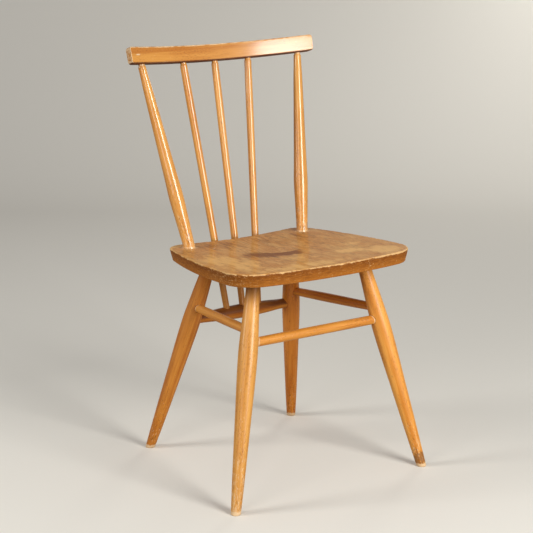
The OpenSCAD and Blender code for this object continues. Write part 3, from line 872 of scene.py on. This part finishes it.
class CHAIR_OT_legs(bpy.types.Operator):
    """Turn the four legs"""
    bl_idname = "chair.legs"
    bl_label = "Legs"

    def execute(self, context):
        worn = beech("Worn leg beech", tone=0.96, rich=0.07, coat=0.26, gloss=0.4, scuffs=0.6)
        rich = beech("Rich leg beech", tone=1.2, rich=0.18, coat=0.36, gloss=0.5, scuffs=0.1)
        rear_left = beech(
            "Rear left leg beech", tone=0.96, rich=0.42, coat=0.16, gloss=0.6, scuffs=-0.9)
        rear_right = beech(
            "Rear right leg beech", tone=1.08, rich=0.55, coat=0.16, gloss=0.6, scuffs=-0.9)
        # The last number in each row paints shade on the leg just under the seat
        for seed, (end, side, material, shade) in enumerate((
                ("front", "left", worn, 1.0), ("front", "right", rich, 0.4),
                ("rear", "left", rear_left, 0.6), ("rear", "right", rear_right, 0.6))):
            turned_piece(f"{end}_{side}_leg", material, seed,
                         ["seat", f"{side}_stretcher", f"{end}_stretcher"], shade=shade)
        return {"FINISHED"}


class CHAIR_OT_stretchers(bpy.types.Operator):
    """Turn the four stretchers between the legs"""
    bl_idname = "chair.stretchers"
    bl_label = "Stretchers"

    def execute(self, context):
        chipped = beech("Chipped stretcher beech", tone=1.04, rich=0.22, coat=0.2, gloss=0.45,
                        scuffs=0.4, pale_joint_chips_and_glint=0.7)
        # A deeper copy of the beech for the two stretchers that take painted shade; its darker
        # colour is partly painted shade
        dark = beech("Dark stretcher beech", tone=1.08, rich=0.45, coat=0.2, gloss=0.35)
        # The second number in each row paints shade on the stretcher's upper side, under the seat
        for seed, (name, dirt, legs) in enumerate((
                ("front", 0.0, ["front_left_leg", "front_right_leg"]),
                ("left", 0.0, ["front_left_leg", "rear_left_leg"]),
                ("right", 0.06, ["front_right_leg", "rear_right_leg"]),
                ("rear", 0.88, ["rear_left_leg", "rear_right_leg", "left_stick", "centre_stick",
                                "right_stick"]))):
            turned_piece(
                f"{name}_stretcher", chipped if dirt == 0 else dark, 10 + seed, legs, dirt=dirt)
        return {"FINISHED"}


class CHAIR_OT_posts(bpy.types.Operator):
    """Turn the two swelled outer posts"""
    bl_idname = "chair.posts"
    bl_label = "Posts"

    def execute(self, context):
        material = beech("Post beech", tone=1.02, rich=0.08, coat=0.12, shine=1.68, scuffs=0.3,
                         pale_joint_chips_and_glint=0.6)
        for seed, side in enumerate(("left", "right")):
            turned_piece(f"{side}_post", material, 20 + seed, ["seat", "crest_rail"])
        return {"FINISHED"}


class CHAIR_OT_sticks(bpy.types.Operator):
    """Turn the three slim sticks"""
    bl_idname = "chair.sticks"
    bl_label = "Sticks"

    def execute(self, context):
        material = beech("Stick beech", tone=1.03, rich=0.12, coat=0.1, shine=1.72, scuffs=0.2)
        for seed, side in enumerate(("left", "centre", "right")):
            # shade paints shade on the part of each stick under the seat
            turned_piece(f"{side}_stick", material, 30 + seed, ["crest_rail", "rear_stretcher"],
                         shade=0.55)
        return {"FINISHED"}


class CHAIR_OT_rail(bpy.types.Operator):
    """Bend the crest rail"""
    bl_idname = "chair.rail"
    bl_label = "Crest rail"

    def execute(self, context):
        build_rail()
        return {"FINISHED"}


def stage_material(name, shown, bounced):
    """Pale to the camera; to the light that it bounces, and in most of the level floor's
    reflection, it is as dark as a wooden floor."""
    s = Shader(name)
    seen = s.node("ShaderNodeLightPath", output="Is Camera Ray").most(
        s.node("ShaderNodeLightPath", output="Is Glossy Ray") * (s.field("wall") * 0.75 + 0.25))
    bounce = s.node("ShaderNodeBsdfDiffuse", {}, {"Color": bounced})
    pale = s.node("ShaderNodeBsdfDiffuse", {}, {"Color": shown})
    mixed = s.node("ShaderNodeMixShader", {}, {0: seen, 1: bounce, 2: pale})
    s.node("ShaderNodeOutputMaterial", {}, {"Surface": mixed})
    return s.material


# Each lamp: the setting that holds its power, name, place, target, width and height, and tint
LAMPS = (
    ("key", "front lamp", (0.48, -3.1, 1.47), (0, 0, 0.9), (1.2, 2.1), (1, 0.98, 0.95)),
    ("side", "left lamp", (-2.9, 1.0, 1.7), (0, 0, 0.4), (0.9, 1.6), (1, 0.98, 0.95)),
    ("back", "back lamp", (3.3, 2.3, 1.6), (0, 0, 0.35), (1.0, 1.8), (1, 0.97, 0.92)),
    ("fill", "wide lamp", (-2.8, -1.4, 1.3), (0, 0, 0.4), (1.4, 1.8), (1, 0.96, 0.93)))
SKY_TINT = (0.96, 0.97, 1, 1)


def lamp(name, strength, place, target, size, tint):
    """A soft rectangular lamp that shines from its place at its target."""
    light = bpy.data.lights.new(name, "AREA")
    light.shape = "RECTANGLE"
    light.size, light.size_y = size
    light.energy = strength
    light.color = tint
    made = bpy.data.objects.new(name, light)
    made.location = place
    aim = Vector(target) - Vector(place)
    made.rotation_euler = aim.to_track_quat("-Z", "Y").to_euler()
    made.visible_camera = False
    bpy.context.scene.collection.objects.link(made)


class CHAIR_OT_stage(bpy.types.Operator):
    """Lay the floor and the wall, and set the camera and the lamps"""
    bl_idname = "chair.stage"
    bl_label = "Stage"

    def execute(self, context):
        z = context.scene.chair.stage
        ahead = Vector((math.sin(z.turn), math.cos(z.turn), 0))
        across = Vector((ahead.y, -ahead.x, 0))
        # The floor runs level past the chair, then sweeps up into the wall
        profile = [(-z.front, 0)] + [
            (z.room - z.sweep * (1 - math.sin(t)), z.sweep * (1 - math.cos(t)))
            for t in np.linspace(0, math.pi / 2, 25)] + [(z.room, z.wall)]
        points = [ahead * d + across * w + Vector((0, 0, h))
                  for d, h in profile for w in (-z.wide / 2, z.wide / 2)]
        faces = [(k, k + 1, k + 3, k + 2) for k in range(0, len(points) - 2, 2)]
        mesh = bpy.data.meshes.new("floor")
        mesh.from_pydata([tuple(p) for p in points], [], faces)
        mesh.shade_smooth()
        rise = mesh.attributes.new("wall", "FLOAT", "POINT")
        rise.data.foreach_set("value", [min(1.0, p.z / z.sweep * 2) for p in points])
        mesh.materials.append(stage_material("Pale floor", tuple(z.floor), tuple(z.bounce)))
        floor = bpy.data.objects.new("floor", mesh)
        context.scene.collection.objects.link(floor)

        lens = bpy.data.cameras.new("camera")
        lens.lens = z.lens
        camera = bpy.data.objects.new("camera", lens)
        camera.location = z.camera
        camera.rotation_euler = (math.pi / 2 - z.tilt, 0, -z.turn)
        context.scene.collection.objects.link(camera)
        context.scene.camera = camera

        for setting, name, place, target, size, tint in LAMPS:
            lamp(name, getattr(z, setting), place, target, size, tint)
        world = bpy.data.worlds.new("soft light")
        world.use_nodes = True
        background = world.node_tree.nodes["Background"]
        background.inputs["Color"].default_value = SKY_TINT
        background.inputs["Strength"].default_value = z.sky
        context.scene.world = world
        context.scene.view_settings.view_transform = "Standard"
        return {"FINISHED"}


OPERATORS = (
    CHAIR_OT_stage, CHAIR_OT_seat, CHAIR_OT_legs, CHAIR_OT_stretchers, CHAIR_OT_posts,
    CHAIR_OT_sticks, CHAIR_OT_rail)


class CHAIR_PT_build(bpy.types.Panel):
    """Lists the chair's pieces and their sizes"""
    bl_idname = "CHAIR_PT_build"
    bl_label = "Kitchen chair"
    bl_space_type = "VIEW_3D"
    bl_region_type = "UI"
    bl_category = "Chair"

    def draw(self, context):
        for operator in OPERATORS:
            self.layout.operator(operator.bl_idname)
        settings = context.scene.chair
        for name in settings.bl_rna.properties.keys():
            group = getattr(settings, name)
            if isinstance(group, bpy.types.PropertyGroup):
                box = self.layout.box()
                box.label(text=name.capitalize())
                for size in group.__annotations__:
                    box.prop(group, size)


CLASSES = (
    SeatSizes, TurningSizes, WearAndShadeSizes, RailSizes, BeechColours, ElmColours, StageSizes,
    ChairSettings, *OPERATORS, CHAIR_PT_build)


def register():
    for cls in CLASSES:
        bpy.utils.register_class(cls)
    bpy.types.Scene.chair = PointerProperty(
        type=ChairSettings, name="Chair", description="Sizes and colours of the chair")


def unregister():
    del bpy.types.Scene.chair
    for cls in reversed(CLASSES):
        bpy.utils.unregister_class(cls)


def main():
    register()
    bpy.ops.chair.stage()
    bpy.ops.chair.seat()
    bpy.ops.chair.legs()
    bpy.ops.chair.stretchers()
    bpy.ops.chair.posts()
    bpy.ops.chair.sticks()
    bpy.ops.chair.rail()


if __name__ == "__main__":
    main()
